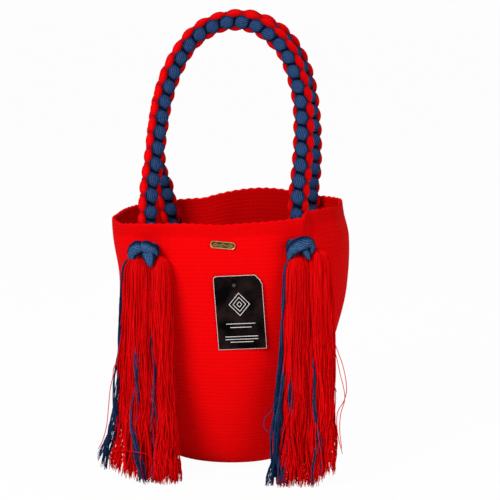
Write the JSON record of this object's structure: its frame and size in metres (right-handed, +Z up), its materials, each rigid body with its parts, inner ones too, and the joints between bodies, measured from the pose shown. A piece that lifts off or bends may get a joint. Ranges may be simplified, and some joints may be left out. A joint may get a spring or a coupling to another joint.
{
  "type": "crocheted bucket bag",
  "caption": "Soft crocheted bucket bag with an open mouth, arched braided rope handles threaded through the wall, knotted tassels, a bare label plate and a blank card tag.",
  "frame": {"origin": "centre of the bounding box on the floor plane, under the middle of the base", "axes": "+Z up, -Y towards the front with the plate and card, +X to the right seen from the front"},
  "size_m": [0.253, 0.266, 0.4848],
  "materials": {
    "red_crochet": "crocheted rows, matt",
    "red_yarn": "matt yarn",
    "blue_yarn": "matt yarn",
    "antique_brass": "antique, worn bright on the border",
    "black_card": "smooth coated card, white edges",
    "dark_plastic": "moulded"
  },
  "bodies": {
    "bag": {"bag_body": "red_crochet", "front_left_neck": "red_yarn", "front_left_knot": "blue_yarn", "front_left_tassel_blue_1": "blue_yarn", "front_left_tassel_red_1": "red_yarn", "front_left_tassel_blue_2": "blue_yarn", "front_left_tassel_red_2": "red_yarn", "front_right_neck": "red_yarn", "front_right_knot": "blue_yarn", "front_right_tassel_blue_1": "blue_yarn", "front_right_tassel_red_1": "red_yarn", "front_right_tassel_blue_2": "blue_yarn", "front_right_tassel_red_2": "red_yarn", "back_left_neck": "red_yarn", "back_left_knot": "blue_yarn", "back_left_tassel_blue_1": "blue_yarn", "back_left_tassel_red_1": "red_yarn", "back_left_tassel_blue_2": "blue_yarn", "back_left_tassel_red_2": "red_yarn", "back_right_neck": "red_yarn", "back_right_knot": "blue_yarn", "back_right_tassel_blue_1": "blue_yarn", "back_right_tassel_red_1": "red_yarn", "back_right_tassel_blue_2": "blue_yarn", "back_right_tassel_red_2": "red_yarn", "label_plate": "antique_brass", "hang_tag": "black_card", "tag_pin": "dark_plastic"},
    "front_handle": {"front_handle_red_1": "red_yarn", "front_handle_red_2": "red_yarn", "front_handle_blue_1": "blue_yarn", "front_handle_blue_2": "blue_yarn"},
    "back_handle": {"back_handle_red_1": "red_yarn", "back_handle_red_2": "red_yarn", "back_handle_blue_1": "blue_yarn", "back_handle_blue_2": "blue_yarn"}
  },
  "joints": [
    {"name": "front_handle_swing", "type": "hinge", "parent": "bag", "child": "front_handle", "pos_m": [0, -0.07709, 0.28636], "axis": [1, 0, 0], "range_deg": [-3, 103]},
    {"name": "back_handle_swing", "type": "hinge", "parent": "bag", "child": "back_handle", "pos_m": [0, 0.07709, 0.28636], "axis": [-1, 0, 0], "range_deg": [-3, 103]}
  ]
}
